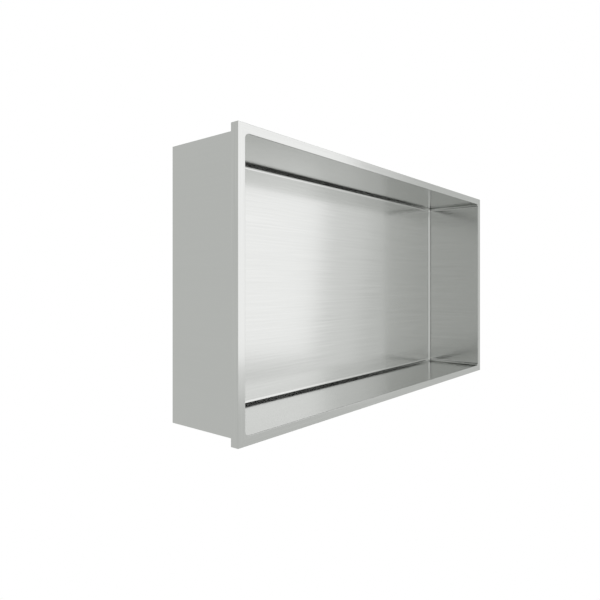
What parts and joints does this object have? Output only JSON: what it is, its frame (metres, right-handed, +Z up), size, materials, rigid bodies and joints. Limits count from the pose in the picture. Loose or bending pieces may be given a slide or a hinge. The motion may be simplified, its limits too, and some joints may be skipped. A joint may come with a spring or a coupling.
{
  "type": "shower niche insert",
  "caption": "Recessed wall niche of brushed stainless sheet: a wide coved tub with a narrow face frame and a plain casing that goes into the wall, to hold bottles in a shower.",
  "frame": {"origin": "middle of the frame's rear rim, in the plane of the wall that the rim seats on", "axes": "+X along the wall, +Y into the wall, +Z up; the open mouth faces -Y"},
  "size_m": [0.62, 0.112, 0.32],
  "materials": {
    "brushed_stainless": "brushed along its length, satin"
  },
  "bodies": {
    "root": {"niche_box": "brushed_stainless"}
  },
  "joints": []
}
